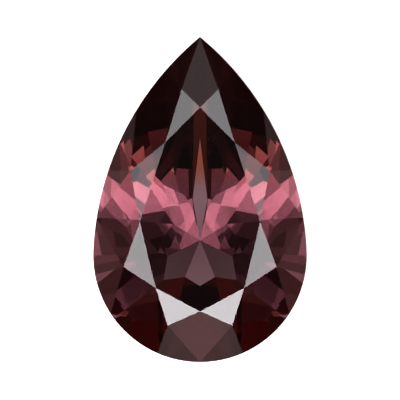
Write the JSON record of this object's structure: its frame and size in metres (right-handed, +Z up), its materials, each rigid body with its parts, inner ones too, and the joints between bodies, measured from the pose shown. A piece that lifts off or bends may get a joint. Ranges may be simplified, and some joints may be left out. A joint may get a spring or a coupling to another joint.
{
  "type": "faceted pear-cut pink tourmaline",
  "caption": "Loose pear-shaped cut gem: flat table, bevelled crown, thin girdle and a deep faceted pavilion that comes to a culet, in see-through dark pink tourmaline.",
  "frame": {"origin": "middle of the lower girdle facet that the loose stone lies on", "axes": "+Z up, out of the surface it lies on; the stone's point lies towards +Y, about 11 degrees below level, and its table faces up and towards +X"},
  "size_m": [0.008, 0.015, 0.007],
  "materials": {
    "tourmaline": "polished facets on clear dark pink crystal, refractive index about 1.65, with a finely ground girdle"
  },
  "bodies": {
    "root": {"tourmaline": "tourmaline"}
  },
  "joints": []
}
